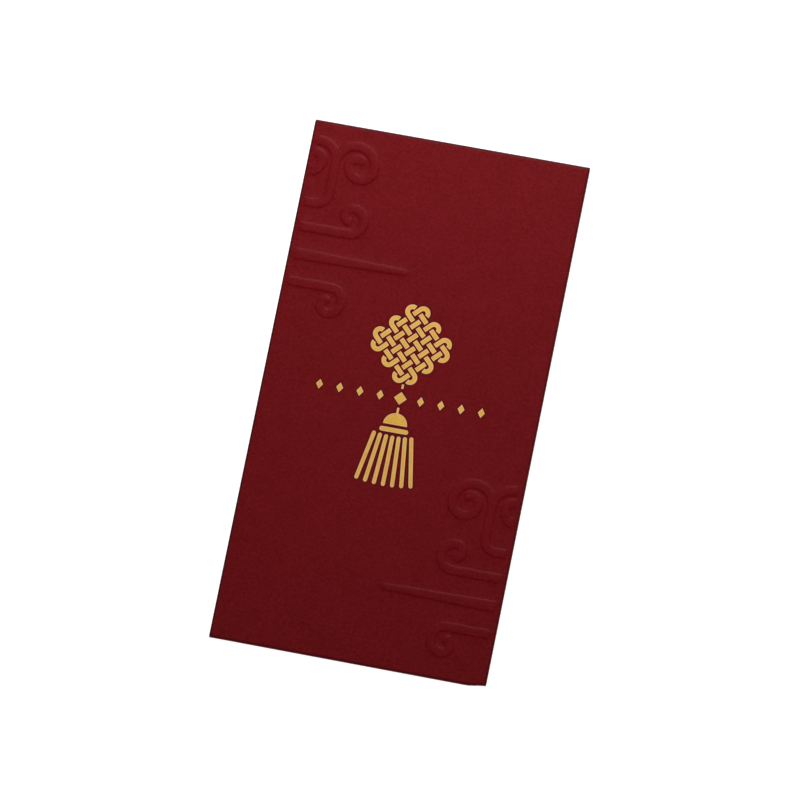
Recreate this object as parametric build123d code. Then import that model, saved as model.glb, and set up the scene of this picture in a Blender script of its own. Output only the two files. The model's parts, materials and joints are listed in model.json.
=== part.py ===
from build123d import *

import math
import os

# A gift envelope of thick red paper, folded from one die-cut sheet, in millimetres.
# X runs across it, Y along it towards the top fold, and Z up.
# It lies on its back: the front panel faces up and the closing flap is underneath.

# Sheet and layers
envelope_width = 90.0
envelope_length = 170.0
paper = 0.35
pocket_gap = 0.9
glue_film = 0.06
flap_clearance = 0.15
cut_overrun = 1.0

# Seam flaps, folded in behind the front panel along both sides
seam_flap_reach = 14.0
seam_flap_end_gap = 3.0
seam_flap_taper = 9.0

# Back panel, folded up from the bottom and glued over the seam flaps
back_side_inset = 1.5
back_shoulder = 6.0
back_throat = 12.0
back_corner_radius = 3.0

# Glue lines between the seam flaps and the back panel
glue_margin = 2.0

# Closing flap, folded over the back from the top
flap_reach = 40.0
flap_side_taper = 5.0
flap_corner_radius = 8.0
flap_side_clearance = 0.4
hinge_relief = 0.3

# Blind embossing on the front panel: drifting clouds, raised outside and hollow inside
cloud_band = 2.8
cloud_rise = 0.25
cloud_hollow_inset = 0.3
cloud_head_inset = 9.3
cloud_head_drop = 13.0
cloud_lobe_radius = 6.4
cloud_coil_radius = 4.2
cloud_eye_radius = 2.4
cloud_tail_drop = 27.0
cloud_tail_radius = 4.0
streamer_drop = 44.0
streamer_run = 38.0
streamer_band = 3.6
streamer_tip = 2.0
upper_wisp_drop = 35.0
upper_wisp_run = 18.0
lower_wisp_drop = 53.0
lower_wisp_run = 16.0
wisp_radius = 4.2
wisp_eye_radius = 2.3
lower_cloud_shift = 100.0

# Gold foil on the front panel
foil = 0.05
motif_gap = 0.8
motif_cord = 0.9

# Foil bead row, across the middle of the panel
bead_row_share = 0.006
bead_count = 9
bead_pitch = 6.6
bead_width = 2.5
bead_height = 3.5
middle_bead = 4.4

# Foil knot above the row: ovals woven over and under each other, turned to stand on a corner
knot_rise = 17.6
knot_ovals = 3
knot_band = 1.7
knot_pitch = 3.1
knot_loop = 2.5
knot_weave_gap = 0.35
knot_turn = 45.0

# Foil tassel below the row
tassel_cord = 1.8
tassel_cap_radius = 4.0
tassel_tie_width = 9.6
tassel_tie_height = 1.7
strand_count = 7
strand_width = 1.5
strand_length = 16.6
strand_pitch = 2.0
strand_fan = 3.45

# Heights of the layers, from the flap that the envelope lies on up to the front
back_floor = paper + flap_clearance
glue_floor = back_floor + paper
seam_floor = glue_floor + glue_film
front_floor = seam_floor + paper + pocket_gap
front_face = front_floor + paper

# Folds: each is a half-round bend as high as the layers that it joins
side_bend = (front_face - seam_floor) / 2
bottom_bend = (front_face - back_floor) / 2
top_bend = front_face / 2
half_width = envelope_width / 2
half_length = envelope_length / 2
panel_half_width = half_width - side_bend
bottom_fold = -half_length + bottom_bend
top_fold = half_length - top_bend
panel_top = top_fold - hinge_relief


def sheet(outline, floor, thickness=paper):
    """A flat layer of the given outline, lying on the given height."""
    return Pos(0, 0, floor) * extrude(outline, thickness)


def block(left, right, low, high):
    """A rectangle between four edges."""
    return Pos((left + right) / 2, (low + high) / 2) * Rectangle(right - left, high - low)


def mirrored(points):
    """A closed outline from the points of its right half, listed from bottom to top."""
    return Polygon(*points, *[(-x, y) for x, y in reversed(points)], align=None)


def crease(bend, length):
    """A half-round strip of paper along X, with its round side towards +Y."""
    centred = (Align.CENTER, Align.MIN, Align.CENTER)
    outer = Cylinder(bend, length, arc_size=180, align=centred)
    inner = Cylinder(bend - paper, length + cut_overrun)
    return Rot(0, 90, 0) * (outer - inner)


def band(path, width):
    """A band of even width along a path, round at the path's end."""
    return trace(path, width) + Pos(path[-1] @ 1) * Circle(width / 2)


# Embossed clouds, drawn for the upper left corner

cloud_dip = Vector(-half_width + cloud_head_inset, half_length - cloud_head_drop)


def head_path():
    """The right half of the cloud's head: a round lobe that winds up into a coil."""
    lobe = JernArc(cloud_dip, (0, 1), cloud_lobe_radius, -180)
    coil = JernArc(lobe @ 1, lobe % 1, cloud_coil_radius, -180)
    eye = JernArc(coil @ 1, coil % 1, cloud_eye_radius, -120)
    return [lobe, coil, eye]


def tail_path():
    """The tail, down from between the lobes and away to the side fold."""
    height = half_length - cloud_tail_drop
    stem = Line(cloud_dip, (cloud_dip.X, height + cloud_tail_radius))
    turn = JernArc(stem @ 1, stem % 1, cloud_tail_radius, -90)
    return [stem, turn, Line(turn @ 1, (-half_width, height))]


def wisp_path(drop, run, way):
    """A wisp from the side fold whose end curls upwards (way 1) or downwards (way -1)."""
    height = half_length - drop
    wisp = Line((-half_width, height), (-half_width + run, height))
    turn = JernArc(wisp @ 1, wisp % 1, wisp_radius, way * 180)
    return [wisp, turn, JernArc(turn @ 1, turn % 1, wisp_eye_radius, way * 150)]


def streamer(inset):
    """A straight streamer that narrows from the side fold to a round tip."""
    height = half_length - streamer_drop
    root = Pos(-half_width, height) * Circle(streamer_band / 2 - inset)
    tip = Pos(-half_width + streamer_run, height) * Circle(streamer_tip / 2 - inset)
    return make_hull(root.edges() + tip.edges())


def clouds(inset):
    """Both clouds, cut off at the panel's sides and drawn in by the given inset."""
    width = cloud_band - 2 * inset
    lobe = band(head_path(), width)
    upper = lobe + mirror(lobe, about=Plane.YZ.offset(cloud_dip.X))
    upper += band(tail_path(), width) + streamer(inset)
    upper += band(wisp_path(upper_wisp_drop, upper_wisp_run, 1), width)
    upper += band(wisp_path(lower_wisp_drop, lower_wisp_run, -1), width)
    lower = Pos(0, -lower_cloud_shift) * mirror(upper, about=Plane.YZ)
    edge = panel_half_width - inset
    return (upper + lower) & block(-edge, edge, bottom_fold + inset, panel_top - inset)


# Gold foil

bead_row_height = bead_row_share * envelope_length


def lozenge(width, height):
    """A four-pointed bead."""
    return Polygon((width / 2, 0), (0, height / 2), (-width / 2, 0), (0, -height / 2), align=None)


def bead_row():
    """Lozenges in a row, the middle one larger."""
    middle = bead_count // 2
    row = Pos(0, bead_row_height) * lozenge(middle_bead, middle_bead)
    for side in (-1, 1):
        for place in range(1, middle + 1):
            row += Pos(side * place * bead_pitch, bead_row_height) * lozenge(bead_width, bead_height)
    return row


knot_middle = bead_row_height + knot_rise
knot_strands = [(place + 0.5 - knot_ovals) * knot_pitch for place in range(2 * knot_ovals)]
knot_half_length = knot_strands[-1] + knot_band / 2 + knot_loop


def woven_oval(number, passes_under):
    """One long oval of the weave, cut where its two strands pass under the crossing strands."""
    height = knot_pitch + knot_band
    outer = SlotOverall(2 * knot_half_length, height)
    inner = SlotOverall(2 * (knot_half_length - knot_band), height - 2 * knot_band)
    oval = Pos(0, (knot_strands[2 * number] + knot_strands[2 * number + 1]) / 2) * (outer - inner)
    break_size = knot_band + 2 * knot_weave_gap
    for strand in (2 * number, 2 * number + 1):
        for crossing, place in enumerate(knot_strands):
            if (strand + crossing + passes_under) % 2:
                oval -= Pos(place, knot_strands[strand]) * Rectangle(break_size, break_size)
    return oval


def knot():
    """The woven ovals, half of them turned across the others, and the cord below them."""
    weave = Sketch()
    for number in range(knot_ovals):
        weave += woven_oval(number, 0)
        weave += mirror(woven_oval(number, 1), about=Plane.YZ.rotated((0, 0, 45)))
    corner = (knot_strands[-1] + knot_band / 2) * math.sqrt(2)
    low = bead_row_height + middle_bead / 2 + motif_gap
    cord = block(-motif_cord / 2, motif_cord / 2, low, knot_middle - corner - motif_gap)
    return Pos(0, knot_middle) * Rot(0, 0, knot_turn) * weave + cord


def tassel():
    """A cord, a round cap, the tie below it and a fan of strands."""
    cord_top = bead_row_height - middle_bead / 2 - motif_gap
    cap_floor = cord_top - tassel_cord - tassel_cap_radius
    cord = block(-motif_cord / 2, motif_cord / 2, cap_floor + tassel_cap_radius / 2, cord_top)
    cap = Circle(tassel_cap_radius) & block(-tassel_cap_radius, tassel_cap_radius, 0, tassel_cap_radius)
    tie_height = cap_floor - motif_gap - tassel_tie_height / 2
    shape = cord + Pos(0, cap_floor) * cap
    shape += Pos(0, tie_height) * SlotOverall(tassel_tie_width, tassel_tie_height)
    strand_top = tie_height - tassel_tie_height / 2 - motif_gap
    fan_radius = strand_pitch / math.radians(strand_fan)
    for place in range(strand_count):
        angle = (place - (strand_count - 1) / 2) * strand_fan
        strand = Pos(0, -fan_radius - strand_length / 2) * SlotOverall(strand_length, strand_width, rotation=90)
        shape += Pos(0, strand_top + fan_radius) * Rot(0, 0, angle) * strand
    return shape


# Paper panels

def front_panel():
    """The face of the envelope, with the clouds pressed up out of it from behind."""
    outline = block(-panel_half_width, panel_half_width, bottom_fold, panel_top)
    raised = sheet(outline, front_floor) + sheet(clouds(0), front_floor, paper + cloud_rise)
    return raised - sheet(clouds(cloud_hollow_inset), front_floor, cloud_rise)


def back_panel():
    """The back, a little narrower than the front past its shoulders, and lower at the throat."""
    side = half_width - back_side_inset
    throat = half_length - back_throat
    shoulder = bottom_fold + back_shoulder
    outline = mirrored([(panel_half_width, bottom_fold), (side, shoulder), (side, throat)])
    return sheet(fillet(outline.vertices().group_by(Axis.Y)[-1], back_corner_radius), back_floor)


def seam_flap():
    """The right seam flap, tapered at both ends so that the corners fold flat."""
    inner = half_width - seam_flap_reach
    end = half_length - seam_flap_end_gap
    taper_end = end - seam_flap_taper
    outline = Polygon(
        (panel_half_width, -end),
        (panel_half_width, end),
        (inner, taper_end),
        (inner, -taper_end),
        align=None,
    )
    return sheet(outline, seam_floor)


def glue_line():
    """The right glue line, inside the overlap of seam flap and back panel."""
    left = half_width - seam_flap_reach + glue_margin
    right = half_width - back_side_inset - glue_margin
    low = -half_length + seam_flap_end_gap + seam_flap_taper
    high = half_length - max(seam_flap_end_gap + seam_flap_taper, back_throat) - glue_margin
    strip = SlotOverall(high - low, right - left, rotation=90)
    return sheet(Pos((left + right) / 2, (low + high) / 2) * strip, glue_floor, glue_film)


def closing_flap():
    """The flap, closed over the back, narrower and rounded at its free edge."""
    root = panel_half_width - flap_side_clearance
    tip_height = top_fold - flap_reach
    outline = mirrored([(root - flap_side_taper, tip_height), (root, top_fold)])
    return sheet(fillet(outline.vertices().group_by(Axis.Y)[0], flap_corner_radius), 0)


def top_crease():
    """The living hinge of the closing flap, with a short flat lip that joins the front panel."""
    half = panel_half_width - flap_side_clearance
    bend = Pos(0, top_fold, top_bend) * crease(top_bend, 2 * half)
    return bend + sheet(block(-half, half, panel_top, top_fold), front_floor)


def bottom_crease():
    """The fold between the front panel and the back panel."""
    bend = crease(bottom_bend, 2 * panel_half_width)
    return Pos(0, bottom_fold, back_floor + bottom_bend) * Rot(0, 0, 180) * bend


def side_crease():
    """The right fold, between the front panel and its seam flap."""
    bend = crease(side_bend, envelope_length)
    return Pos(panel_half_width, 0, seam_floor + side_bend) * Rot(0, 0, -90) * bend


def left_twin(shape):
    """The mirror image, on the left, of a piece made for the right side."""
    return mirror(shape, about=Plane.YZ)


pieces = {
    "front_panel": front_panel(),
    "back_panel": back_panel(),
    "right_seam_flap": seam_flap(),
    "left_seam_flap": left_twin(seam_flap()),
    "closing_flap": closing_flap(),
    "top_crease": top_crease(),
    "bottom_crease": bottom_crease(),
    "right_crease": side_crease(),
    "left_crease": left_twin(side_crease()),
    "right_glue_line": glue_line(),
    "left_glue_line": left_twin(glue_line()),
    "foil_knot": sheet(knot(), front_face, foil),
    "foil_bead_row": sheet(bead_row(), front_face, foil),
    "foil_tassel": sheet(tassel(), front_face, foil),
}

os.makedirs("parts", exist_ok=True)
for name, shape in pieces.items():
    export_step(shape, f"parts/{name}.step")
    size = shape.bounding_box().size
    print(f"{name}: {size.X:.2f} x {size.Y:.2f} x {size.Z:.2f} mm, {len(shape.solids())} solids")
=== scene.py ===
# %% [markdown]
# # Dressing a red gift envelope
# The real envelope is one die-cut sheet of thick red card. It is creased, embossed with clouds, stamped
# with gold foil, folded round and glued shut along two seams. The frame holds each panel, crease, glue line
# and stamp at its real size. This lesson keeps those places and gives the card its skin: soft embossing,
# rounded folds, paper grain and bright foil.

# %% Load the frame
import json
import math

import bmesh
import bpy
import numpy as np
from mathutils import Matrix, Vector
from mathutils.geometry import delaunay_2d_cdt


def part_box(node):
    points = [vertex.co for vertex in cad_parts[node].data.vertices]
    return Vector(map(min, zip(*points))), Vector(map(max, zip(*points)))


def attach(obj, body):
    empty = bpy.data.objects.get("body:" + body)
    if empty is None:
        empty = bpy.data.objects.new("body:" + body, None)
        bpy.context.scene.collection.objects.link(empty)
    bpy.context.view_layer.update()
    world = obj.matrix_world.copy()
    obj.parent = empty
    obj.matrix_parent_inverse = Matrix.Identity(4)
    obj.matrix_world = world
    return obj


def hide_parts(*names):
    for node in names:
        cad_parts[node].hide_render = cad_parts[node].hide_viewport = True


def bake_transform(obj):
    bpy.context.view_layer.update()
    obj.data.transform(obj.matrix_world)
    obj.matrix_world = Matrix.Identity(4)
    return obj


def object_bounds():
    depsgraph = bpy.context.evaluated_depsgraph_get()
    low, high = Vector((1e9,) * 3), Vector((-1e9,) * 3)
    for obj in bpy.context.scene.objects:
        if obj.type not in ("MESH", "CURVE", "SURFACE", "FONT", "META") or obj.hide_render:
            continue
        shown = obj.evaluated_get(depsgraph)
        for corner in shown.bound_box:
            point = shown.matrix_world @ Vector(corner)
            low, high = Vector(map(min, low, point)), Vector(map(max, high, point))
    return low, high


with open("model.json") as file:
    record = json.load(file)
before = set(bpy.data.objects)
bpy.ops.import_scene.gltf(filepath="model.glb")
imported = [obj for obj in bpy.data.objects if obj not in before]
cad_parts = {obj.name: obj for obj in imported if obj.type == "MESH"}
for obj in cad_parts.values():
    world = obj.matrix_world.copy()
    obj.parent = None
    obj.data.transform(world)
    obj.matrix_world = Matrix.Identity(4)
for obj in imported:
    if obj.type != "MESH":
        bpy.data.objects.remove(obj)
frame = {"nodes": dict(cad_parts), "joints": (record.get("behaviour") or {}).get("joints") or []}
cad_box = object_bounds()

MM = 0.001

# %% [markdown]
# ## Sizes
# A folded sheet is a stack of thin layers, so nearly every size here is a level or an edge of
# one of them. They are read from the frame's boxes. That way the skin follows the
# construction when a size there changes.

# %% Sizes read from the frame
front_low, front_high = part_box("front_panel")
back_low, back_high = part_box("back_panel")
flap_low, flap_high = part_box("closing_flap")
hinge = Vector(frame["joints"][0]["pos_m"])
half_width = cad_box[1].x
half_length = cad_box[1].y
paper = flap_high.z - flap_low.z
front_face = front_low.z + paper
cloud_rise = front_high.z - front_face
print(f"card {paper / MM:.2f} mm thick, front face {front_face / MM:.2f} mm up")
print(f"clouds {cloud_rise / MM:.2f} mm high")

# %% [markdown]
# ## Card
# The sheet is through-dyed uncoated card, rolled on felt. The dye goes right through it, so it has no
# printed shine. What the eye gets is a deep matte red, a fine cloudy grain and short pressed fibres. Along
# the fold crests a darker red is painted in as painted shade, made uneven by noise. An image texture
# could hold all that, but noise on object coordinates has no seams from panel to panel, and stays sharp
# close up. The real grain is about 0.1 mm and can't show in the picture, so it is drawn at 0.9 mm.

# %% Colours and nodes
def linear(hex_colour):
    """An sRGB hex colour as the linear RGBA that a socket takes."""
    channels = [int(hex_colour[i:i + 2], 16) / 255 for i in (1, 3, 5)]
    return [c / 12.92 if c <= 0.04045 else ((c + 0.055) / 1.055) ** 2.4 for c in channels] + [1.0]


def add(tree, kind, inputs=None, **settings):
    """Add one node. An input takes a value, or the socket that feeds it."""
    node = tree.nodes.new(kind)
    for name, value in settings.items():
        setattr(node, name, value)
    for key, value in (inputs or {}).items():
        if isinstance(value, bpy.types.NodeSocket):
            tree.links.new(value, node.inputs[key])
        else:
            node.inputs[key].default_value = value
    return node


def start_material(name, **values):
    """A new material with its shader's constant values set, and the tree to add nodes to."""
    material = bpy.data.materials.new(name)
    material.use_nodes = True
    shader = material.node_tree.nodes["Principled BSDF"]
    for key, value in values.items():
        shader.inputs[key.replace("_", " ")].default_value = value
    return material, material.node_tree, shader


print("an sRGB middle grey is", round(linear("#808080")[0], 3), "in linear light")

# %% Card material
grain_size = 0.9 * MM
grain_depth = 0.03 * MM
grain_bump = 0.5
mottle_size = 5 * MM
mottle_share = 0.2
fibre_width = 0.22 * MM
fibre_length = 2.4 * MM
fibre_angles = (25, -60)
fleck_range = (0.6, 0.75)
fleck_shade = 0.16
dye_stops = ((0.41, "#6B0003"), (0.82, "#7E1019"))
# Painted shade along the fold crests: its mottle size and range, how much it covers, and its colour
crease_shade_mottle_size = 1.1 * MM
crease_shade_mottle_range = (0.4, 0.7)
crease_shade_cover = (0.55, 0.25)
crease_shade_colour = "#47090E"
card_roughness = (0.53, 0.39)

card, tree, shader = start_material("through_dyed_felt_card", Specular_IOR_Level=0.084)
place = add(tree, "ShaderNodeTexCoord").outputs["Object"]
grain = add(tree, "ShaderNodeTexNoise", {
    "Vector": place, "Scale": 1 / grain_size, "Detail": 3.0, "Roughness": 0.65}).outputs[0]
mottle = add(tree, "ShaderNodeTexNoise", {
    "Vector": place, "Scale": 1 / mottle_size, "Detail": 2.0}).outputs[0]
shade = add(tree, "ShaderNodeMath", {
    0: mottle, 1: mottle_share, 2: grain}, operation="MULTIPLY_ADD").outputs[0]
for angle in fibre_angles:
    turned = add(tree, "ShaderNodeMapping", {
        "Vector": place, "Rotation": (0, 0, math.radians(angle)),
        "Scale": (1 / fibre_length, 1 / fibre_width, 1 / fibre_width)}).outputs[0]
    streak = add(tree, "ShaderNodeTexNoise", {"Vector": turned, "Scale": 1.0, "Detail": 1.0}).outputs[0]
    fleck = add(tree, "ShaderNodeMapRange", {
        "Value": streak, "From Min": fleck_range[0], "From Max": fleck_range[1],
        "To Min": 0.0, "To Max": fleck_shade}).outputs[0]
    shade = add(tree, "ShaderNodeMath", {0: shade, 1: fleck}, operation="ADD").outputs[0]
dye = add(tree, "ShaderNodeValToRGB", {"Fac": shade})
for stop, (position, hex_colour) in zip(dye.color_ramp.elements, dye_stops):
    stop.position = position
    stop.color = linear(hex_colour)
# Painted shade: a dark red mixed into the card along the fold crests, made uneven by noise
crease_shade_mottle = add(tree, "ShaderNodeTexNoise", {"Vector": place, "Scale": 1 / crease_shade_mottle_size, "Detail": 3.0}).outputs[0]
crease_shade_spread = add(tree, "ShaderNodeMapRange", {
    "Value": crease_shade_mottle, "From Min": crease_shade_mottle_range[0], "From Max": crease_shade_mottle_range[1],
    "To Min": crease_shade_cover[0], "To Max": crease_shade_cover[1]}).outputs[0]
crease_shade_mask = add(tree, "ShaderNodeAttribute", attribute_name="wear").outputs["Fac"]
crease_shade_amount = add(tree, "ShaderNodeMath", {0: crease_shade_spread, 1: crease_shade_mask}, operation="MULTIPLY").outputs[0]
colour = add(tree, "ShaderNodeMix", {
    0: crease_shade_amount, 6: dye.outputs[0], 7: linear(crease_shade_colour)}, data_type="RGBA").outputs[2]
rough = add(tree, "ShaderNodeMapRange", {
    "Value": grain, "To Min": card_roughness[0], "To Max": card_roughness[1]}).outputs[0]
relief = add(tree, "ShaderNodeBump", {
    "Height": shade, "Strength": grain_bump, "Distance": grain_depth}).outputs[0]
for key, source in (("Base Color", colour), ("Roughness", rough), ("Normal", relief)):
    tree.links.new(source, shader.inputs[key])
print("card material nodes:", len(tree.nodes))

# %% [markdown]
# The die cuts the card clean through, and the cut shows a rougher, slightly paler core with its layers
# running along the sheet. It gets a material of its own, for the narrow faces round each panel.

# %% Cut edge material
layer_size = 0.06 * MM
core_colours = ("#6C1317", "#A03234")
core_bump = 0.6

cut_edge, tree, shader = start_material("die_cut_card_edge", Specular_IOR_Level=0.1, Roughness=0.92)
place = add(tree, "ShaderNodeTexCoord").outputs["Object"]
layers = add(tree, "ShaderNodeMapping", {
    "Vector": place, "Scale": (1 / grain_size, 1 / grain_size, 1 / layer_size)}).outputs[0]
core = add(tree, "ShaderNodeTexNoise", {"Vector": layers, "Scale": 1.0, "Detail": 2.0}).outputs[0]
dye = add(tree, "ShaderNodeValToRGB", {"Fac": core})
for stop, hex_colour in zip(dye.color_ramp.elements, core_colours):
    stop.color = linear(hex_colour)
relief = add(tree, "ShaderNodeBump", {
    "Height": core, "Strength": core_bump, "Distance": grain_depth}).outputs[0]
tree.links.new(dye.outputs[0], shader.inputs["Base Color"])
tree.links.new(relief, shader.inputs["Normal"])
print("cut edge material nodes:", len(tree.nodes))

# %% [markdown]
# ## A piece of card
# Handling leaves a mark: the lower right corner has had a bump, which pushed it in by less than a
# millimetre. Every piece of card goes through the same small shift there, so that panel and folds stay
# joined.

# %% Bumped corner
bump_push = 0.85 * MM
bump_width = 6.5 * MM
bump_height = 12 * MM


def smooth(share):
    """A soft step from 0 to 1."""
    share = np.clip(share, 0, 1)
    return share * share * (3 - 2 * share)


def bumped(points):
    """Points of the sheet with its lower right corner pushed up the sheet."""
    points = np.array(points)
    across = smooth(1 - (half_width - points[:, 0]) / bump_width)
    along = smooth(1 - (points[:, 1] + half_length) / bump_height)
    points[:, 1] += bump_push * across * along
    return points


print(f"corner pushed in by {bump_push / MM:.2f} mm")

# %% [markdown]
# Each panel or fold is modelled as its outer skin alone, and a Solidify modifier gives it the card's
# thickness inwards. The modifier also hands the narrow rim to the cut edge material. The result is kept as
# a plain mesh, and its sharp edges are marked so that the flat faces shade flat up to the cut.

# %% Card piece helper
sharp_angle = math.radians(35)


def plain(piece):
    """Keep a piece's evaluated mesh and drop its modifiers."""
    graph = bpy.context.evaluated_depsgraph_get()
    made = bpy.data.meshes.new_from_object(piece.evaluated_get(graph))
    piece.modifiers.clear()
    piece.data = made
    made.name = piece.name
    made.shade_smooth()
    made.set_sharp_from_angle(angle=sharp_angle)


def link(name, mesh):
    """Put a mesh in the scene as a new object at the origin."""
    piece = bpy.data.objects.new(name, mesh)
    bpy.context.scene.collection.objects.link(piece)
    return piece


def card_piece(name, points, faces, wear=0.0):
    """A panel or fold from its outer skin. Its painted crease shade is one value or one for each point, 0
    where none is painted.
    """
    mesh = bpy.data.meshes.new(name)
    mesh.from_pydata(bumped(points).tolist(), [], faces)
    mesh.materials.append(card)
    mesh.materials.append(cut_edge)
    # This attribute holds where painted shade goes on the card
    crease_shade_points = mesh.attributes.new("wear", "FLOAT", "POINT")
    crease_shade_points.data.foreach_set("value", np.broadcast_to(wear, len(points)).astype(np.float32))
    piece = link(name, mesh)
    wall = piece.modifiers.new("card thickness", "SOLIDIFY")
    wall.thickness = paper
    wall.offset = -1
    wall.use_even_offset = True
    wall.material_offset_rim = 1
    plain(piece)
    print(name, "has", len(piece.data.vertices), "points and", len(piece.data.polygons), "faces")
    return piece


print("edges over", round(math.degrees(sharp_angle)), "degrees stay sharp")

# %% [markdown]
# ## Cloud embossing
# The clouds are blind embossed: a brass die pushes the card up from behind, with no ink. Each stroke has a
# flat top and soft shoulders, because card stretches and won't take a sharp corner. A bump map would look
# right from the front alone, so the height is real. Each stroke is a walk of straight runs and turns, and
# the height at a point depends on how far it is from the nearest stroke.

# %% Stroke helpers
walk_step = 0.25 * MM


def walk(start, heading, moves):
    """A line's points. A move is (length, 0) to run straight or (radius, degrees) to turn, left positive."""
    points = [np.array(start)]
    angle = math.radians(heading)
    for size, degrees in moves:
        turn = math.radians(degrees)
        steps = max(1, round(size * (abs(turn) if degrees else 1) / walk_step))
        stride = 2 * size * math.sin(abs(turn) / steps / 2) if degrees else size / steps
        for _ in range(steps):
            angle += turn / steps / 2
            points.append(points[-1] + stride * np.array((math.cos(angle), math.sin(angle))))
            angle += turn / steps / 2
    return np.array(points)


def turning(turns, side):
    """The same turns to the left (1) or to the right (-1)."""
    return [(radius, side * degrees) for radius, degrees in turns]


print("a stroke has a point every", walk_step / MM, "mm")

# %% Cloud strokes
cloud_band = 2.8 * MM
cloud_head_inset = 9.3 * MM
cloud_head_drop = 13 * MM
cloud_turns = ((6.4 * MM, 180), (4.2 * MM, 180), (2.4 * MM, 120))
cloud_tail_drop = 27 * MM
cloud_tail_radius = 4 * MM
streamer_drop = 44 * MM
streamer_run = 38 * MM
streamer_band = 3.6 * MM
streamer_tip = 2.0 * MM
upper_wisp_drop = 35 * MM
upper_wisp_run = 18 * MM
lower_wisp_drop = 53 * MM
lower_wisp_run = 16 * MM
wisp_turns = ((4.2 * MM, 180), (2.3 * MM, 150))
lower_cloud_shift = 100 * MM

dip = (cloud_head_inset - half_width, half_length - cloud_head_drop)
tail_fall = cloud_tail_drop - cloud_head_drop - cloud_tail_radius
tail_run = dip[0] - cloud_tail_radius + half_width
upper_strokes = [
    walk(dip, 90, turning(cloud_turns, -1)),
    walk(dip, 90, turning(cloud_turns, 1)),
    walk(dip, -90, [(tail_fall, 0), (cloud_tail_radius, -90), (tail_run, 0)]),
    walk((-half_width, half_length - upper_wisp_drop), 0, [(upper_wisp_run, 0)] + turning(wisp_turns, 1)),
    walk((-half_width, half_length - lower_wisp_drop), 0, [(lower_wisp_run, 0)] + turning(wisp_turns, -1)),
]
strokes = [(stroke, np.full(len(stroke), cloud_band / 2)) for stroke in upper_strokes]
streamer = walk((-half_width, half_length - streamer_drop), 0, [(streamer_run, 0)])
strokes.append((streamer, np.linspace(streamer_band, streamer_tip, len(streamer)) / 2))
strokes += [(stroke * (-1, 1) - (0, lower_cloud_shift), half) for stroke, half in strokes]
print("cloud strokes:", len(strokes), "points on them:", sum(len(stroke) for stroke, half in strokes))

# %% Height of the front panel
shoulder = 0.8 * MM
edge_fade = 1.6 * MM
panel_bow = 0.12 * MM
bow_waves = ((1.3, 0.7, 0.4), (-0.8, 1.9, 2.1), (2.1, -1.1, 4.0))


def stroke_gap(x, y):
    """Distance of each point from the edge of the nearest stroke, negative inside it."""
    gaps = [(np.hypot(x[:, None] - stroke[:, 0], y[:, None] - stroke[:, 1]) - half).min(axis=1)
            for stroke, half in strokes]
    return np.min(gaps, axis=0)


def bow(x, y):
    """How far the panel bows out of flat: a faint pillow with slow waves, nothing at the folds."""
    across = x / half_width
    along = y / half_length
    waves = sum(np.sin(math.pi * (a * across + b * along) + phase) for a, b, phase in bow_waves)
    pillow = np.clip(1 - across ** 2, 0, 1) * np.clip(1 - along ** 2, 0, 1)
    return panel_bow * pillow * (0.5 + waves / 2 / len(bow_waves))


def front_height(x, y):
    """Level of the front panel's outer face."""
    cloud = smooth(0.5 - stroke_gap(x, y) / shoulder)
    return front_face + bow(x, y) + cloud_rise * cloud * smooth((front_high.x - np.abs(x)) / edge_fade)


print("height at a stroke's middle in mm:", front_height(*np.array([dip]).T) / MM)

# %% [markdown]
# ## Front panel
# A plain grid fine enough for the shoulders would need hundreds of thousands of faces, and would still cut
# them in steps. So the panel is triangulated from chosen points: rows that run along each stroke's
# shoulders, a ladder of points along the two long folds, and a wide grid elsewhere.

# %% Row helpers
row_pitch = 0.6 * MM


def stroke_rows(stroke, half, offset):
    """Points along both sides and round both ends of a stroke, offset outwards from its edge."""
    run = np.gradient(stroke, axis=0)
    run /= np.linalg.norm(run, axis=1)[:, None]
    side = run[:, ::-1] * (-1, 1)
    skip = slice(None, None, round(row_pitch / walk_step))
    reach = (half + offset)[:, None]
    rows = [(stroke + side * reach)[skip], (stroke - side * reach)[skip]]
    for end, away in ((0, -1), (-1, 1)):
        count = 3 + round(math.pi * reach[end, 0] / row_pitch)
        arc = np.linspace(-math.pi / 2, math.pi / 2, count)[:, None]
        rows.append(stroke[end] + reach[end] * (away * run[end] * np.cos(arc) + side[end] * np.sin(arc)))
    return np.concatenate(rows)


def between(low, high, pitch):
    """Evenly spaced values from low to high, about a pitch apart."""
    return np.linspace(low, high, 1 + round((high - low) / pitch))


print("points along the first stroke's edge:", len(stroke_rows(*strokes[0], 0)))

# %% Points of the front panel
row_shares = (-0.5, -0.3, -0.1, 0.1, 0.3, 0.5)
row_tolerance = 0.03 * MM
grid_pitch = 2.4 * MM
ladder_pitch = 1.2 * MM
ladder_steps = 5
point_spacing = 0.12 * MM

x_low, y_low = front_low.xy
x_high, y_high = front_high.xy
chosen = []
for inset in np.linspace(0, edge_fade, ladder_steps):
    for x in (x_low + inset, x_high - inset):
        rungs = between(y_low, y_high, ladder_pitch)
        chosen.append(np.column_stack([np.full(len(rungs), x), rungs]))
inner = between(x_low, x_high, grid_pitch)[1:-1]
for y in (y_low, y_high):
    chosen.append(np.column_stack([inner, np.full(len(inner), y)]))
for stroke, half in strokes:
    for offset in [share * shoulder for share in row_shares] + [None]:
        row = stroke_rows(stroke, half, -half if offset is None else offset)
        inside = (np.abs(row[:, 0]) < x_high - edge_fade) & (row[:, 1] > y_low) & (row[:, 1] < y_high)
        row = row[inside]
        if offset is not None:
            row = row[np.abs(stroke_gap(*row.T) - offset) < row_tolerance]
        chosen.append(row)
grid = np.array([(x, y) for x in inner for y in between(y_low, y_high, grid_pitch)[1:-1]])
grid = grid[np.abs(grid[:, 0]) < x_high - edge_fade - grid_pitch / 2]
chosen.append(grid[np.abs(stroke_gap(*grid.T)) > shoulder])
chosen = np.concatenate(chosen)
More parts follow.
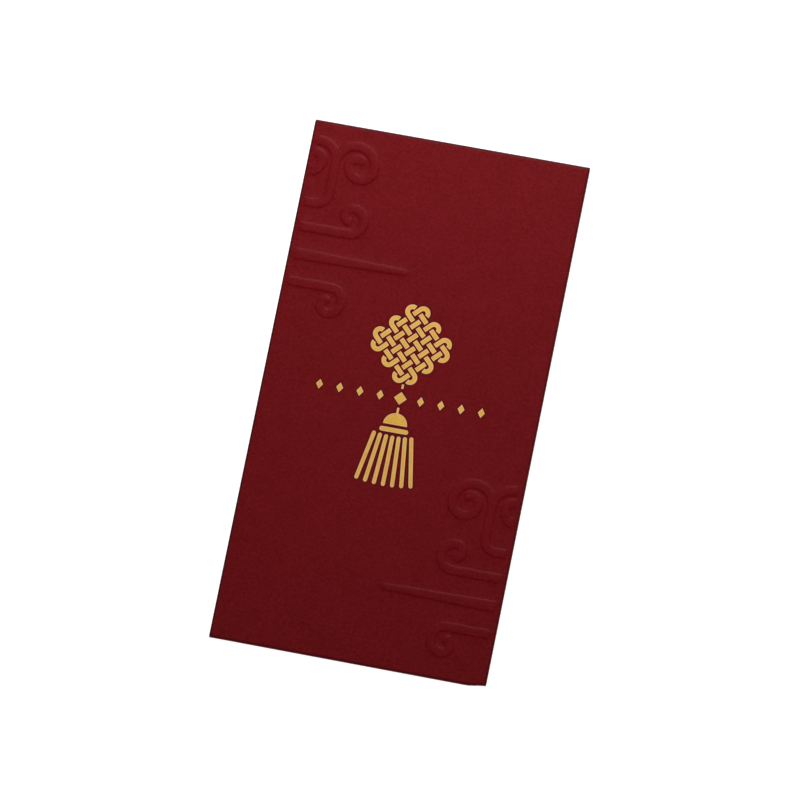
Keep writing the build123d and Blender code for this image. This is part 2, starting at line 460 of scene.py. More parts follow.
kept = np.unique(np.round(chosen / point_spacing), axis=0, return_index=True)[1]
chosen = chosen[np.sort(kept)]
print("points chosen on the front panel:", len(chosen))

# %% Front panel mesh
joining_distance = 1e-6

made = delaunay_2d_cdt([Vector(point) for point in chosen / MM], [], [], 0, joining_distance)
flat = np.array(made[0]) * MM
skin = np.column_stack([flat, front_height(*flat.T)])
front_sheet = card_piece("front_sheet", skin, made[2])
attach(front_sheet, "pocket")
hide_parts("front_panel")

# %% [markdown]
# ## Folds
# Card folded along a pressed score doesn't make a perfect half circle. The two score shoulders turn tighter
# than the middle, so the section is a rounded square. Each fold is that section drawn along a straight
# line, with painted shade along its crest. The side folds run the whole length, and their open ends show at
# the corners, as on a folded sheet.

# %% Fold helper
squareness = 2.6
bend_power = 2 / squareness
bend_steps = 18
# Painted shade on a fold fades out within this angle of either flat edge
crease_shade_start = math.radians(15)


def bend_section(reach, half_height):
    """A fold's outline from front edge round to back edge: pairs of (outwards, up), and the painted crease
    shade at each.
    """
    angles = np.linspace(0, math.pi, bend_steps + 1)
    outwards = reach * np.abs(np.sin(angles)) ** bend_power
    up = half_height * np.sign(np.cos(angles)) * np.abs(np.cos(angles)) ** bend_power
    return np.column_stack([outwards, up]), smooth(np.minimum(angles, math.pi - angles) / crease_shade_start)


def fold_piece(name, section, wear, stations, place, outside):
    """Draw a section along its stations. place(outwards, up, station) gives a point, outside a way out."""
    points = np.array([place(out, up, station) for station in stations for out, up in section])
    count = len(section)
    corners = [(i, i + 1, i + count + 1, i + count)
               for row in range(len(stations) - 1) for i in range(row * count, row * count + count - 1)]
    a, b, _, d = (points[i] for i in corners[count // 2])
    if np.dot(np.cross(b - a, d - a), outside) < 0:
        corners = [corner[::-1] for corner in corners]
    return card_piece(name, points, corners, np.tile(wear, len(stations)))


print("fold section:", bend_steps, "steps")

# %% Bottom fold
# Strength of the painted shade along the bottom fold's crest
bottom_fold_shade = 1.1
fold_pitch = 1.5 * MM

bottom_low, bottom_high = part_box("bottom_crease")
bottom_middle = (bottom_high.z + bottom_low.z) / 2


def on_bottom(out, up, x):
    """A point of the bottom fold."""
    return (x, bottom_high.y - out, bottom_middle + up)


section, wear = bend_section(bottom_high.y - bottom_low.y, (bottom_high.z - bottom_low.z) / 2)
bottom_fold = fold_piece("bottom_fold", section, bottom_fold_shade * wear,
                         between(bottom_low.x, bottom_high.x, fold_pitch), on_bottom, (0, -1, 0))
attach(bottom_fold, "pocket")
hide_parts("bottom_crease")

# %% [markdown]
# At the four corners the side folds meet the bottom and top folds. Pressed flat together, they sink to the
# level of the fold they meet and draw in a little, so each side fold's section shrinks over its last
# millimetre. The left fold gets the stronger painted shade of the two.

# %% Ends of the side folds
corner_steps = 8


def edge_level(y, fold_y, reach, middle, half_height):
    """Level of the outer face past a fold line that lies across the sheet."""
    past = np.clip(np.abs(y - fold_y) / reach, 0, 1)
    return middle + half_height * (1 - past ** squareness) ** (1 / squareness)


ease = np.sin(np.linspace(0, math.pi / 2, corner_steps + 1))
bottom_reach = half_length + y_low
top_reach = half_length - hinge.y
low_end = y_low - bottom_reach * ease[::-1]
high_end = hinge.y + top_reach * ease
stations = np.concatenate([low_end, between(y_low, hinge.y, fold_pitch)[1:-1], high_end])
levels = np.full(len(stations), front_face)
bottom_half = front_face - bottom_middle
top_half = front_face - hinge.z
levels[:corner_steps + 1] = edge_level(low_end, y_low, bottom_reach, bottom_middle, bottom_half)
levels[-corner_steps - 1:] = edge_level(high_end, hinge.y, top_reach, hinge.z, top_half)
print("stations along a side fold:", len(stations))

# %% Side folds
least_section = 2.2 * paper
# Strength of the painted shade along each side fold's crest
left_fold_shade = 2.2
right_fold_shade = 1.35

for name, node, side, side_fold_shade in (("left_fold", "left_crease", -1, left_fold_shade),
                                    ("right_fold", "right_crease", 1, right_fold_shade)):
    low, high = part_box(node)
    heights = np.maximum(levels - low.z, least_section)
    shrink = np.sqrt(heights / (front_face - low.z))

    def on_side(out, up, i):
        """A point of this side fold."""
        return (side * (x_high + out * shrink[i]), stations[i], low.z + heights[i] * (1 + up) / 2)

    section, wear = bend_section(high.x - low.x, 1)
    fold = fold_piece(name, section, side_fold_shade * wear, range(len(stations)), on_side, (side, 0, 0))
    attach(fold, "pocket")
    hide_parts(node)

# %% [markdown]
# ## Back panel and seam flaps
# Behind the front panel, the back panel is turned up from the bottom fold and glued to two narrow seam
# flaps that are turned in from the sides. They are flat die-cut shapes, so an outline with rounded corners
# is enough, and Solidify does the rest.

# %% Outline helper
def rounded(corners, steps=10):
    """Points of an outline whose corners (x, y, radius) are rounded with arcs."""
    points = []
    for i, (x, y, radius) in enumerate(corners):
        here = Vector((x, y))
        before = (Vector(corners[i - 1][:2]) - here).normalized()
        after = (Vector(corners[(i + 1) % len(corners)][:2]) - here).normalized()
        if not radius:
            points.append(here)
            continue
        half = before.angle(after) / 2
        centre = here + (before + after).normalized() * (radius / math.sin(half))
        first = here + before * (radius / math.tan(half)) - centre
        last = here + after * (radius / math.tan(half)) - centre
        turn = first.angle_signed(last)
        points += [centre + Matrix.Rotation(-turn * step / steps, 2) @ first for step in range(steps + 1)]
    return points


def flat_piece(name, node, corners, level):
    """A flat panel whose outer face looks down, at a level, standing for a node."""
    outline = rounded(corners)
    area = sum(a.cross(b) for a, b in zip(outline, outline[1:] + outline[:1]))
    outline = outline[::-1] if area > 0 else outline
    points = [(point.x, point.y, level) for point in outline]
    piece = card_piece(name, points, [tuple(range(len(points)))])
    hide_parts(node)
    return piece


print("rounded square has", len(rounded([(0, 0, 1), (4, 0, 1), (4, 4, 1), (0, 4, 1)])), "points")

# %% Back panel and seam flaps
back_shoulder = 6 * MM
back_side_inset = 1.5 * MM
back_corner_radius = 3 * MM
seam_flap_taper = 9 * MM
bump_pitch = 1.3 * MM

straight = half_width - back_side_inset
bumped_edge = [(x, back_low.y, 0) for x in between(half_width - bump_width, x_high, bump_pitch)]
back_sheet = flat_piece("back_sheet", "back_panel", [
    (-x_high, back_low.y, 0), *bumped_edge, (straight, back_low.y + back_shoulder, 0),
    (straight, back_high.y, back_corner_radius), (-straight, back_high.y, back_corner_radius),
    (-straight, back_low.y + back_shoulder, 0)], back_low.z)
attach(back_sheet, "pocket")

for name, node in (("left_seam_sheet", "left_seam_flap"), ("right_seam_sheet", "right_seam_flap")):
    low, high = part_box(node)
    fold_x, inner_x = (low.x, high.x) if low.x < 0 else (high.x, low.x)
    seam_sheet = flat_piece(name, node, [
        (fold_x, low.y, 0), (inner_x, low.y + seam_flap_taper, 0),
        (inner_x, high.y - seam_flap_taper, 0), (fold_x, high.y, 0)], low.z)
    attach(seam_sheet, "pocket")

# %% [markdown]
# ## Glue
# Two thin lines of white glue hold the back panel to the seam flaps. Dried, they are clear and slightly
# yellow, with a soft shine. Their solids already have the right shape, so they stay and only get a finish.

# %% Glue material
glue_ripple = 1.5 * MM
glue_colours = ("#D9CFB4", "#EFE9D8")
glue_bump = 0.5

glue, tree, shader = start_material("dried_white_glue", Roughness=0.35, IOR=1.47, Transmission_Weight=0.35)
place = add(tree, "ShaderNodeTexCoord").outputs["Object"]
ripple = add(tree, "ShaderNodeTexNoise", {
    "Vector": place, "Scale": 1 / glue_ripple, "Detail": 2.0}).outputs[0]
tint = add(tree, "ShaderNodeValToRGB", {"Fac": ripple})
for stop, hex_colour in zip(tint.color_ramp.elements, glue_colours):
    stop.color = linear(hex_colour)
relief = add(tree, "ShaderNodeBump", {
    "Height": ripple, "Strength": glue_bump, "Distance": grain_depth}).outputs[0]
tree.links.new(tint.outputs[0], shader.inputs["Base Color"])
tree.links.new(relief, shader.inputs["Normal"])
for node in ("left_glue_line", "right_glue_line"):
    frame["nodes"][node].material_slots[0].material = glue
    print("glue finish on", node)

# %% [markdown]
# ## Closing flap and its fold
# The flap is the one part that moves. It is a flat tongue with slanted sides and rounded corners, and it
# swings on the top fold. The fold itself belongs to both bodies, so it is attached to neither. The strip is
# as wide as the panel down to its crest, and then narrows to the flap's root.

# %% Closing flap
flap_side_taper = 5 * MM
flap_corner_radius = 8 * MM

flap_sheet = flat_piece("flap_sheet", "closing_flap", [
    (-flap_high.x, flap_high.y, 0), (flap_high.x, flap_high.y, 0),
    (flap_high.x - flap_side_taper, flap_low.y, flap_corner_radius),
    (flap_side_taper - flap_high.x, flap_low.y, flap_corner_radius)], flap_low.z)
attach(flap_sheet, "flap")

# %% Top fold
# Strength of the painted shade along the top fold's crest
top_fold_shade = 1.3
corner_gap = 0.04 * MM

low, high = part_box("top_crease")
widening = (x_high - corner_gap) / high.x - 1


def on_top(out, up, x):
    """A point of the top fold."""
    width = 1 + widening * min(1, 1 + up / hinge.z)
    return (x * width, hinge.y + out, hinge.z + up)


section, wear = bend_section(high.y - hinge.y, hinge.z - low.z)
section = np.vstack([(low.y - hinge.y, section[0][1]), section])
top_fold = fold_piece("top_fold", section, top_fold_shade * np.append(0, wear),
                      between(low.x, high.x, fold_pitch), on_top, (0, 1, 0))
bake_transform(top_fold)
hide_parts("top_crease")

# %% [markdown]
# ## Gold foil
# The foil is hot stamped: a heated die presses a film of metallised lacquer onto the card. It is
# a real metal mirror, but it follows the card's tooth, so its gloss is satin. The colour comes
# from a yellow lacquer over aluminium. A pale painted highlight runs round every flake's rim, and a
# dark hairline of painted shade is painted on the card round it. Two attributes on the foil's points
# say where those two go.

# %% Foil material
foil_tooth = 0.35 * MM
tooth_depth = 0.012 * MM
tooth_bump = 0.4
foil_cloud = 4 * MM
foil_cloud_share = 0.6
lacquer_stops = ((0.45, "#D8A43C"), (1.0, "#ECBC5C"))
# Painted highlight: a pale colour mixed into the lacquer round every flake's edge
rim_highlight_colour = "#FFBE92"
rim_highlight_strength = 0.9
# Painted shade: a dark red for the hairline round the foil
outline_shade_colour = "#500002"
foil_roughness = (0.3, 0.46)

foil, tree, shader = start_material("hot_stamped_gold_foil", Specular_IOR_Level=0.1)
place = add(tree, "ShaderNodeTexCoord").outputs["Object"]
tooth = add(tree, "ShaderNodeTexNoise", {
    "Vector": place, "Scale": 1 / foil_tooth, "Detail": 3.0}).outputs[0]
cloud = add(tree, "ShaderNodeTexNoise", {
    "Vector": place, "Scale": 1 / foil_cloud, "Detail": 2.0}).outputs[0]
mixed = add(tree, "ShaderNodeMath", {
    0: cloud, 1: foil_cloud_share, 2: tooth}, operation="MULTIPLY_ADD").outputs[0]
lacquer = add(tree, "ShaderNodeValToRGB", {"Fac": mixed})
for stop, (position, hex_colour) in zip(lacquer.color_ramp.elements, lacquer_stops):
    stop.position = position
    stop.color = linear(hex_colour)
# Painted highlight along the rim, then painted shade on the hairline round the foil, which is no metal
rim = add(tree, "ShaderNodeAttribute", attribute_name="rim").outputs["Fac"]
rim_highlight_mix = add(tree, "ShaderNodeMath", {0: rim, 1: rim_highlight_strength}, operation="MULTIPLY").outputs[0]
lacquer_with_rim_highlight = add(tree, "ShaderNodeMix", {
    0: rim_highlight_mix, 6: lacquer.outputs[0], 7: linear(rim_highlight_colour)}, data_type="RGBA").outputs[2]
press = add(tree, "ShaderNodeAttribute", attribute_name="press").outputs["Fac"]
colour = add(tree, "ShaderNodeMix", {0: press, 6: lacquer_with_rim_highlight, 7: linear(outline_shade_colour)}, data_type="RGBA").outputs[2]
metal = add(tree, "ShaderNodeMath", {0: 1.0, 1: press}, operation="SUBTRACT").outputs[0]
satin = add(tree, "ShaderNodeMapRange", {
    "Value": tooth, "To Min": foil_roughness[0], "To Max": foil_roughness[1]}).outputs[0]
relief = add(tree, "ShaderNodeBump", {
    "Height": tooth, "Strength": tooth_bump, "Distance": tooth_depth}).outputs[0]
for key, source in (("Base Color", colour), ("Metallic", metal), ("Roughness", satin), ("Normal", relief)):
    tree.links.new(source, shader.inputs[key])
print("foil material nodes:", len(tree.nodes))

# %% [markdown]
# ### One flake of foil
# Every mark is made of a few small shapes that repeat: a bar, a loop, a lozenge, a strand. Each is an
# outline that can be drawn again further in.

# %% Foil outlines
arc_step = 10


def arc_points(centre, radius, first, last, count=None):
    """Points on an arc, from one angle in degrees to another."""
    count = count or 2 + math.ceil(abs(last - first) / arc_step)
    angles = np.radians(np.linspace(first, last, count))
    return np.array(centre) + radius * np.column_stack([np.cos(angles), np.sin(angles)])


def ribbon(line, width, round_ends=False):
    """Outline of a ribbon along a line, as a function of how far its edge is pulled in."""
    def outline(inset):
        half = width / 2 - inset
        run = np.gradient(line, axis=0)
        run /= np.linalg.norm(run, axis=1)[:, None]
        side = run[:, ::-1] * (-1, 1)
        path = line.copy()
        heading = [math.degrees(math.atan2(step[1], step[0])) for step in (run[0], run[-1])]
        if round_ends:
            start = arc_points(path[0], half, heading[0] + 90, heading[0] + 270)
            finish = arc_points(path[-1], half, heading[1] - 90, heading[1] + 90)
            return np.vstack([start, (path - side * half)[1:-1], finish, (path + side * half)[1:-1][::-1]])
        path[0] += run[0] * inset
        path[-1] -= run[-1] * inset
        return np.vstack([path - side * half, (path + side * half)[::-1]])
    return outline


def lozenge(width, height):
    """Outline of a lozenge, as a function of how far its edge is pulled in."""
    points = np.array([(width / 2, 0), (0, height / 2), (-width / 2, 0), (0, -height / 2)])
    return lambda inset: points * (1 - 2 * inset * math.hypot(width, height) / (width * height))


print("a half circle has", len(arc_points((0, 0), 1, 0, 180)), "points")

# %% [markdown]
# A flake is a stack of such outlines: rings of points that step inwards from a skirt on the card, which
# carries a hairline of painted shade, up the film's edge and over the rim to the flat top. The film breaks
# off a hair inside the edge of the die.

# %% Flake helper
foil_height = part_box("foil_knot")[1].z - front_face
foil_sink = 0.03 * MM
film_inset = 0.06 * MM
# A skirt round each flake, just above the card, carries the painted-shade hairline
shade_skirt_width = 0.34 * MM
shade_skirt_rise = 0.006 * MM
rim_width = 0.14 * MM
rim_fade = 0.34 * MM
rim_drop = 0.005 * MM
# Share of painted shade on the film's outer edge
film_edge_shade = 0.7

# Each ring is how far it lies inside the film's edge, its height, and its shares of painted rim highlight and
# painted hairline shade
rim_rings = (
    (-shade_skirt_width, -foil_sink, 0, 1),
    (-shade_skirt_width, shade_skirt_rise, 0, 1),
    (0, shade_skirt_rise, 0, 1),
    (0, foil_height - rim_drop, 1, film_edge_shade),
    (rim_width, foil_height, 1, 0),
    (rim_fade, foil_height, 0, 0),
)


def flakes(name, *outlines):
    """A template object with one closed flake of foil for each outline."""
    shape = bmesh.new()
    rim_highlight_layer = shape.verts.layers.float.new("rim")
    outline_shade_layer = shape.verts.layers.float.new("press")
    for outline in outlines:
        rings = []
        for inset, rise, rim_highlight_share, outline_shade_share in rim_rings:
            rings.append([shape.verts.new((x, y, front_face + rise)) for x, y in outline(film_inset + inset)])
            for point in rings[-1]:
                point[rim_highlight_layer] = rim_highlight_share
                point[outline_shade_layer] = outline_shade_share
        for below, above in zip(rings, rings[1:]):
            for i in range(len(below)):
                shape.faces.new((below[i - 1], below[i], above[i], above[i - 1]))
        shape.faces.new(rings[-1])
        shape.faces.new(rings[0][::-1])
    mesh = bpy.data.meshes.new(name)
    shape.to_mesh(mesh)
    shape.free()
    return link(name, mesh)


print(f"foil stands {foil_height / MM:.3f} mm proud")

# %% [markdown]
# Geometry Nodes lay out the copies of a flake. Each tree gets its sizes through named inputs, makes its
# copies real and gives them the foil. The result is then laid on the panel, which bows a little.

# %% Layout helpers
def start_tree(name, inputs):
    """A new geometry tree with named inputs, and the sockets that carry them."""
    tree = bpy.data.node_groups.new(name, "GeometryNodeTree")
    for title, kind in inputs.items():
        tree.interface.new_socket(title, in_out="INPUT", socket_type="NodeSocket" + kind)
    tree.interface.new_socket("Geometry", in_out="OUTPUT", socket_type="NodeSocketGeometry")
    tree.is_modifier = True
    return tree, add(tree, "NodeGroupInput").outputs


def end_tree(tree, parts, material):
    """Join the parts, make copies real, give them a material and send them out."""
    joined = add(tree, "GeometryNodeJoinGeometry")
    for part in parts:
        tree.links.new(part, joined.inputs[0])
    real = add(tree, "GeometryNodeRealizeInstances", {"Geometry": joined.outputs[0]})
    finished = add(tree, "GeometryNodeSetMaterial", {"Geometry": real.outputs[0], "Material": material})
    add(tree, "NodeGroupOutput", {"Geometry": finished.outputs[0]})
    print(tree.name, "has", len(tree.nodes), "nodes")


def stamp(name, node, tree, values):
    """Run a tree with its inputs set, lay the foil on the panel's bow, and let it stand for its node."""
    piece = link(name, bpy.data.meshes.new(name))
    layout = piece.modifiers.new(name, "NODES")
    layout.node_group = tree
    for item in tree.interface.items_tree:
        if item.in_out == "INPUT":
            layout[item.identifier] = values[item.name]
    plain(piece)
    points = np.empty(3 * len(piece.data.vertices), np.float32)
    piece.data.vertices.foreach_get("co", points)
    points = points.reshape(-1, 3)
    points[:, 2] += bow(points[:, 0], points[:, 1])
    piece.data.vertices.foreach_set("co", points.ravel())
    for template in [value for value in values.values() if isinstance(value, bpy.types.Object)]:
        bpy.data.objects.remove(template)
    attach(piece, "pocket")
    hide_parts(node)
    print(name, "has", len(piece.data.polygons), "faces")


print(f"the bow lifts the foil by up to {panel_bow / MM:.2f} mm")

# %% [markdown]
# ### Row of lozenges
# A level row of small lozenges, with a larger one in the middle. It is a line of points with a copy on
# each.

# %% Bead row
bead_count = 9
bead_pitch = 6.6 * MM
bead_width = 2.5 * MM
bead_height = 3.5 * MM
middle_bead = 4.4 * MM
count_tolerance = 0.5

row_low, row_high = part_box("foil_bead_row")
bead_row_y = (row_low.y + row_high.y) / 2
tree, given = start_tree("lozenge_row", {
    "Bead": "Object", "Middle bead": "Object", "Count": "Int", "Middle": "Int",
    "First": "Vector", "Step": "Vector", "Foil": "Material"})
line = add(tree, "GeometryNodeMeshLine", {
    "Count": given["Count"], "Start Location": given["First"], "Offset": given["Step"]}).outputs[0]
number = add(tree, "GeometryNodeInputIndex").outputs[0]
is_middle = add(tree, "ShaderNodeMath", {
    0: number, 1: given["Middle"], 2: count_tolerance}, operation="COMPARE").outputs[0]
is_small = add(tree, "ShaderNodeMath", {0: 1.0, 1: is_middle}, operation="SUBTRACT").outputs[0]
parts = []
for title, choice in (("Bead", is_small), ("Middle bead", is_middle)):
    shape = add(tree, "GeometryNodeObjectInfo", {"Object": given[title]}).outputs["Geometry"]
    parts.append(add(tree, "GeometryNodeInstanceOnPoints", {
        "Points": line, "Selection": choice, "Instance": shape}).outputs[0])
end_tree(tree, parts, given["Foil"])
stamp("foil_lozenge_row", "foil_bead_row", tree, {
    "Bead": flakes("bead", lozenge(bead_width, bead_height)),
    "Middle bead": flakes("middle_bead", lozenge(middle_bead, middle_bead)),
    "Count": bead_count, "Middle": bead_count // 2,
    "First": (-bead_pitch * (bead_count - 1) / 2, bead_row_y, 0), "Step": (bead_pitch, 0, 0), "Foil": foil})

# %% [markdown]
# ### Endless knot
# The upper mark is the traditional endless knot: three long loops one way, three the other, woven
# over and under. Where a strand goes under, the foil breaks off. So every crossing holds one short
# piece of the strand on top, either a straight bar or, at the rim, a bar that turns back in a loop. A
# grid of crossings with a rule for each is all it takes: whether row and column add up to an even
# number says which strand is on top.

# %% Knot rule
tree, given = start_tree("woven_knot", {
    "Bar": "Object", "Loop": "Object", "Cord": "Object", "Strands": "Int", "Pitch": "Float",
    "Last": "Float", "Span": "Float", "Turn": "Vector", "Centre": "Vector", "Foil": "Material"})
crossings = add(tree, "GeometryNodeMeshGrid", {
    "Size X": given["Span"], "Size Y": given["Span"],
    "Vertices X": given["Strands"], "Vertices Y": given["Strands"]}).outputs[0]
position = add(tree, "GeometryNodeInputPosition").outputs[0]
where = add(tree, "ShaderNodeSeparateXYZ", {0: position}).outputs
half_last = add(tree, "ShaderNodeMath", {0: given["Last"], 1: 2.0}, operation="DIVIDE").outputs[0]
counts = []
for axis in (0, 1):
    steps = add(tree, "ShaderNodeMath", {0: where[axis], 1: given["Pitch"]}, operation="DIVIDE").outputs[0]
    steps = add(tree, "ShaderNodeMath", {0: steps, 1: half_last}, operation="ADD").outputs[0]
    counts.append(add(tree, "ShaderNodeMath", {0: steps}, operation="ROUND").outputs[0])
column, row = counts
total = add(tree, "ShaderNodeMath", {0: column, 1: row}, operation="ADD").outputs[0]
upright = add(tree, "ShaderNodeMath", {0: total, 1: 2.0}, operation="MODULO").outputs[0]
difference = add(tree, "ShaderNodeMath", {0: row, 1: column}, operation="SUBTRACT").outputs[0]
along = add(tree, "ShaderNodeMath", {
    0: upright, 1: difference, 2: column}, operation="MULTIPLY_ADD").outputs[0]
at_start = add(tree, "ShaderNodeMath", {0: along, 1: 0.0, 2: count_tolerance}, operation="COMPARE").outputs[0]
at_end = add(tree, "ShaderNodeMath", {
    0: along, 1: given["Last"], 2: count_tolerance}, operation="COMPARE").outputs[0]
is_loop = add(tree, "ShaderNodeMath", {0: at_start, 1: at_end}, operation="ADD").outputs[0]
is_bar = add(tree, "ShaderNodeMath", {0: 1.0, 1: is_loop}, operation="SUBTRACT").outputs[0]
print("nodes in the knot's rule:", len(tree.nodes))

# %% [markdown]
# A loop at the start of its strand is turned right round, and a piece of an upright strand by a quarter.
# The whole weave is then set on its corner, and a short cord hangs from it.

# %% Knot layout
half_turn = add(tree, "ShaderNodeMath", {0: at_start, 1: math.pi}, operation="MULTIPLY").outputs[0]
heading = add(tree, "ShaderNodeMath", {
    0: upright, 1: math.pi / 2, 2: half_turn}, operation="MULTIPLY_ADD").outputs[0]
turned = add(tree, "ShaderNodeCombineXYZ", {"Z": heading}).outputs[0]
woven = add(tree, "GeometryNodeJoinGeometry")
for title, choice in (("Bar", is_bar), ("Loop", is_loop)):
    shape = add(tree, "GeometryNodeObjectInfo", {"Object": given[title]}).outputs["Geometry"]
    copies = add(tree, "GeometryNodeInstanceOnPoints", {
        "Points": crossings, "Selection": choice, "Instance": shape, "Rotation": turned}).outputs[0]
    tree.links.new(copies, woven.inputs[0])
placed = add(tree, "GeometryNodeTransform", {
    "Geometry": woven.outputs[0], "Rotation": given["Turn"], "Translation": given["Centre"]}).outputs[0]
cord = add(tree, "GeometryNodeObjectInfo", {"Object": given["Cord"]}).outputs["Geometry"]
end_tree(tree, [placed, cord], given["Foil"])

# %% Knot
knot_rise = 17.6 * MM
knot_ovals = 3
knot_band = 1.7 * MM
knot_pitch = 3.1 * MM
knot_loop = 2.5 * MM
knot_weave_gap = 0.35 * MM
knot_turn = 45
motif_cord = 0.9 * MM
motif_gap = 0.8 * MM

strand_count = 2 * knot_ovals
under_reach = knot_band / 2 + knot_weave_gap
bar_half = knot_pitch - under_reach
bar_line = np.array([(-bar_half, 0), (bar_half, 0)])
loop_centre = (knot_loop - knot_pitch / 2, -knot_pitch / 2)
loop_start = -90 + math.degrees(math.asin((under_reach - loop_centre[0]) / (knot_pitch / 2)))
loop_line = np.vstack([arc_points(loop_centre, knot_pitch / 2, loop_start, 90), [(-bar_half, 0)]])

knot_y = bead_row_y + knot_rise
knot_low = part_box("foil_knot")[0].y
knot_span = knot_pitch * (strand_count - 1)
knot_tip = knot_y - (knot_span + knot_band) / math.sqrt(2) - motif_gap
cord_line = np.array([(0, knot_low), (0, knot_tip)])
stamp("foil_endless_knot", "foil_knot", tree, {
    "Bar": flakes("bar", ribbon(bar_line, knot_band)), "Loop": flakes("loop", ribbon(loop_line, knot_band)),
    "Cord": flakes("cord", ribbon(cord_line, motif_cord)), "Strands": strand_count, "Pitch": knot_pitch,
    "Last": float(strand_count - 1), "Span": knot_span, "Turn": (0, 0, math.radians(knot_turn)),
    "Centre": (0, knot_y, 0), "Foil": foil})

# %% [markdown]
# ### Tassel
# The lower mark is a tassel: a cord, a domed cap, a tie and a fan of strands. The head is modelled as it
# is. The strands are one shape turned about a point high above, a few degrees each, so they spread evenly.

# %% Tassel head
tassel_cap_radius = 4 * MM
cap_points = 24
tassel_cord = 1.8 * MM
tassel_tie_width = 9.6 * MM
tassel_tie_height = 1.7 * MM

tassel_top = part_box("foil_tassel")[1].y
cap_base = tassel_top - tassel_cord - tassel_cap_radius
tie_y = cap_base - motif_gap - tassel_tie_height / 2
tie_half = (tassel_tie_width - tassel_tie_height) / 2
tie_line = np.array([(-tie_half, tie_y), (tie_half, tie_y)])
cord_line = np.array([(0, tassel_top), (0, cap_base + tassel_cap_radius - motif_gap)])


def dome(inset):
    """Outline of the domed cap, as a function of how far its edge is pulled in."""
    radius = tassel_cap_radius - inset
    low = math.degrees(math.asin(inset / radius))
    return arc_points((0, cap_base), radius, low, 180 - low, cap_points)


head = flakes("head", dome, ribbon(tie_line, tassel_tie_height, True), ribbon(cord_line, motif_cord))
print("tassel head has", len(head.data.polygons), "faces")

# %% Tassel
tassel_strands = 7
strand_width = 1.5 * MM
strand_length = 16.6 * MM
strand_pitch = 2.0 * MM
strand_fan = math.radians(3.45)

strand_top = tie_y - tassel_tie_height / 2 - motif_gap
fan_radius = strand_pitch / (2 * math.sin(strand_fan / 2))
strand_ends = (-fan_radius - strand_width / 2, strand_width / 2 - fan_radius - strand_length)
strand_line = np.array([(0, y) for y in strand_ends])

tree, given = start_tree("strand_fan", {
    "Strand": "Object", "Head": "Object", "Count": "Int", "First angle": "Float",
    "Fan": "Float", "Pivot": "Vector", "Foil": "Material"})
line = add(tree, "GeometryNodeMeshLine", {
    "Count": given["Count"], "Start Location": given["Pivot"], "Offset": (0, 0, 0)}).outputs[0]
number = add(tree, "GeometryNodeInputIndex").outputs[0]
angle = add(tree, "ShaderNodeMath", {
    0: number, 1: given["Fan"], 2: given["First angle"]}, operation="MULTIPLY_ADD").outputs[0]
turned = add(tree, "ShaderNodeCombineXYZ", {"Z": angle}).outputs[0]
strand = add(tree, "GeometryNodeObjectInfo", {"Object": given["Strand"]}).outputs["Geometry"]
fan = add(tree, "GeometryNodeInstanceOnPoints", {
    "Points": line, "Instance": strand, "Rotation": turned}).outputs[0]
top = add(tree, "GeometryNodeObjectInfo", {"Object": given["Head"]}).outputs["Geometry"]
end_tree(tree, [fan, top], given["Foil"])
stamp("foil_tassel_mark", "foil_tassel", tree, {
    "Strand": flakes("strand", ribbon(strand_line, strand_width, True)), "Head": head,
    "Count": tassel_strands, "First angle": -strand_fan * (tassel_strands - 1) / 2, "Fan": strand_fan,
    "Pivot": (0, strand_top + fan_radius, 0), "Foil": foil})

# %% [markdown]
# ## Studio
# The picture is a flat lay on white, lit by one soft light beyond the top edge. It leaves the lower edge
# darker and draws the embossing with a bright upper shoulder. A large panel overhead is what the foil
# reflects. The floor is pale, and glows, so that it stays white where the light falls off.

# %% Floor
floor_size = 12.0
floor_gap = 0.02 * MM
floor_glow = 0.95
pure_white = linear("#FFFFFF")

reach = floor_size / 2
floor_level = cad_box[0].z - floor_gap
floor_corners = ((-reach, -reach), (reach, -reach), (reach, reach), (-reach, reach))
floor_mesh = bpy.data.meshes.new("studio_floor")
floor_mesh.from_pydata([(x, y, floor_level) for x, y in floor_corners], [], [(0, 1, 2, 3)])
floor = link("studio_floor", floor_mesh)
floor_paint = start_material(
    "pale_studio_floor", Base_Color=linear("#A0A0A0"), Roughness=0.9, Specular_IOR_Level=0.0,
    Emission_Color=pure_white, Emission_Strength=floor_glow)[0]
floor_mesh.materials.append(floor_paint)
print("floor", floor_size, "m wide")

# %% Lights
window_place = (0.0, 0.49, 0.4)
window_target = (0, 0.2, 0)
window_size = 0.36
window_power = 0.48
window_spread = 58
overhead_place = (-0.2, 0.24, 1.3)
overhead_target = (0, 0, 0)
overhead_size = 1.0
overhead_power = 1.8
overhead_spread = 180
fill_strength = 0.22


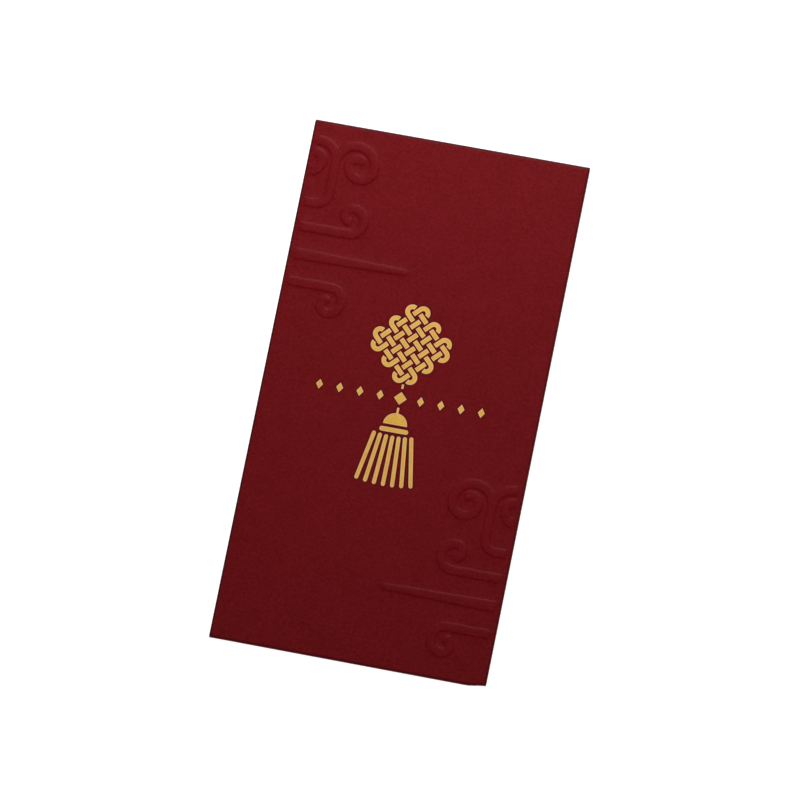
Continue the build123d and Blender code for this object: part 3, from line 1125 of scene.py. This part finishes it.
def soft_light(name, place, target, size, power, spread):
    """A square soft light at a place, facing a target: size in metres, power in watts, spread in degrees."""
    lamp = bpy.data.lights.new(name, "AREA")
    lamp.size = size
    lamp.energy = power
    lamp.spread = math.radians(spread)
    light = bpy.data.objects.new(name, lamp)
    light.location = place
    light.rotation_euler = (Vector(target) - Vector(place)).to_track_quat("-Z", "Y").to_euler()
    light.visible_camera = False
    bpy.context.scene.collection.objects.link(light)
    print(name, "gives", power, "W")


soft_light("window_light", window_place, window_target, window_size, window_power, window_spread)
soft_light("overhead_panel", overhead_place, overhead_target, overhead_size, overhead_power, overhead_spread)

world = bpy.data.worlds.new("studio_fill")
world.use_nodes = True
sky = world.node_tree.nodes["Background"]
sky.inputs["Color"].default_value = pure_white
sky.inputs["Strength"].default_value = fill_strength
bpy.context.scene.world = world
bpy.context.scene.view_settings.view_transform = "Standard"

# %% [markdown]
# ## Camera
# The photograph's four corners give the camera: a long lens, far away, a few degrees off square, with the
# sheet turned clockwise. The angles say how the sheet is tipped, leaned and turned as the camera sees it.

# %% Camera
sheet_tip = math.radians(-8.08)
sheet_lean = math.radians(-8.62)
sheet_turn = math.radians(-10.32)
camera_distance = 2539.6 * MM
camera_shift = Vector((0.09 * MM, 0.49 * MM, 0.0))
sensor = 36.0
focal_pixels = 8000
picture_pixels = 800
nearest = 0.1
furthest = 50

lens = bpy.data.cameras.new("camera")
lens.sensor_width = sensor
lens.lens = sensor * focal_pixels / picture_pixels
lens.clip_start = nearest
lens.clip_end = furthest
camera = bpy.data.objects.new("camera", lens)
leaned = Matrix.Rotation(sheet_turn, 3, "Z") @ Matrix.Rotation(sheet_lean, 3, "Y")
to_sheet = (leaned @ Matrix.Rotation(sheet_tip, 3, "X")).transposed()
camera_place = to_sheet @ (Vector((0, 0, camera_distance)) + camera_shift) + Vector((0, 0, front_face))
camera.matrix_world = Matrix.Translation(camera_place) @ to_sheet.to_4x4()
bpy.context.scene.collection.objects.link(camera)
bpy.context.scene.camera = camera
print("lens", round(lens.lens), "mm, camera at", [round(value, 3) for value in camera.location])
